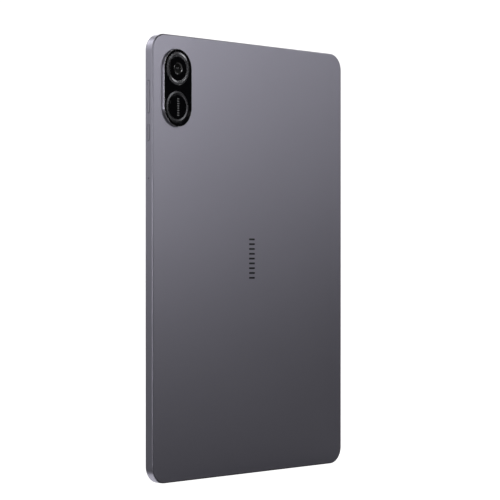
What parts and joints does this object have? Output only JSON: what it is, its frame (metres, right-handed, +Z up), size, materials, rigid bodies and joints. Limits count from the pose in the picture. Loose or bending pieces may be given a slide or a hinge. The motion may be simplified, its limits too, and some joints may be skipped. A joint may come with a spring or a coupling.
{
  "type": "tablet computer",
  "caption": "Slim tablet computer with a metal case, a glass screen, a raised pill-shaped rear camera island, a rocking volume key, a power key and a charging port.",
  "frame": {"origin": "middle of the bottom short edge, midway through the body's own thickness (the camera island stands out of the back, so this is 0.9 mm in front of the middle of the whole box)", "axes": "+Z up along the long edges, as it stands in portrait; +Y out of the back; -Y out of the screen; +X towards the long edge with the keys"},
  "size_m": [0.1689, 0.0083, 0.2571],
  "materials": {
    "anodised_aluminium": "satin anodised, warm grey",
    "key_aluminium": "satin anodised, a little brighter than the case",
    "island_trim": "dark glossy",
    "black_glass": "glossy, backed with black ink, opaque",
    "ring_metal": "dark, finely turned",
    "lens_glass": "coated lens glass over a black stop, reads as opaque",
    "screen_cell": "unlit display cell",
    "black_plastic": "fine matte moulding",
    "white_plastic": "light guide and diffuser",
    "sheet_steel": "stamped sheet",
    "sheet_aluminium": "plain sheet",
    "circuit_board": "solder mask",
    "flex_circuit": "polyimide film",
    "battery_foil": "dark laminated foil pouch",
    "graphite": "graphite film",
    "dust_mesh": "black woven mesh"
  },
  "bodies": {
    "tablet_body": {"rear_cover": "anodised_aluminium", "camera_island": "island_trim", "camera_window": "black_glass", "cover_glass": "black_glass", "lens_ring": "ring_metal", "accent_ring": "ring_metal", "aperture_ring": "ring_metal", "lens_cover": "lens_glass", "rear_camera_lens": "lens_glass", "lens_mask": "black_plastic", "display_panel": "screen_cell", "backlight_unit": "white_plastic", "mid_plate": "sheet_aluminium", "bezel_frame": "black_plastic", "rear_camera_module": "black_plastic", "rear_camera_flex": "flex_circuit", "front_camera_module": "black_plastic", "front_camera_flex": "flex_circuit", "light_sensor": "black_plastic", "volume_up_dome": "sheet_steel", "volume_down_dome": "sheet_steel", "power_dome": "sheet_steel", "side_key_flex": "flex_circuit", "side_key_bracket": "sheet_steel", "microphone": "sheet_steel", "battery_cell_left": "battery_foil", "battery_cell_right": "battery_foil", "battery_protection_board": "circuit_board", "battery_flex": "flex_circuit", "main_board": "circuit_board", "power_shield": "sheet_steel", "processor_shield": "sheet_steel", "memory_shield": "sheet_steel", "heat_spreader": "graphite", "display_flex": "flex_circuit", "usb_c_shell": "sheet_steel", "usb_c_tongue": "black_plastic", "usb_board": "circuit_board", "usb_flex": "flex_circuit", "wifi_antenna_upper": "flex_circuit", "wifi_antenna_lower": "flex_circuit", "speaker_top_left": "black_plastic", "speaker_mesh_top_left": "dust_mesh", "speaker_top_right": "black_plastic", "speaker_mesh_top_right": "dust_mesh", "speaker_bottom_left": "black_plastic", "speaker_mesh_bottom_left": "dust_mesh", "speaker_bottom_right": "black_plastic", "speaker_mesh_bottom_right": "dust_mesh", "board_screw_1": "sheet_steel", "board_screw_2": "sheet_steel", "board_screw_3": "sheet_steel", "board_screw_4": "sheet_steel", "board_screw_5": "sheet_steel", "board_screw_6": "sheet_steel", "port_screw_1": "sheet_steel", "port_screw_2": "sheet_steel"},
    "volume_rocker": {"volume_rocker": "key_aluminium"},
    "power_button": {"power_button": "key_aluminium"}
  },
  "joints": [
    {"name": "volume_rocker_tilt", "type": "hinge", "parent": "tablet_body", "child": "volume_rocker", "pos_m": [0.0821, -0.0001, 0.22065], "axis": [0, 1, 0], "range_deg": [-1.5, 1.5], "stiffness_Nm_per_rad": 0.5},
    {"name": "power_button_press", "type": "slide", "parent": "tablet_body", "child": "power_button", "axis": [-1, 0, 0], "range_m": [0, 0.00025], "stiffness_N_per_m": 5000}
  ]
}
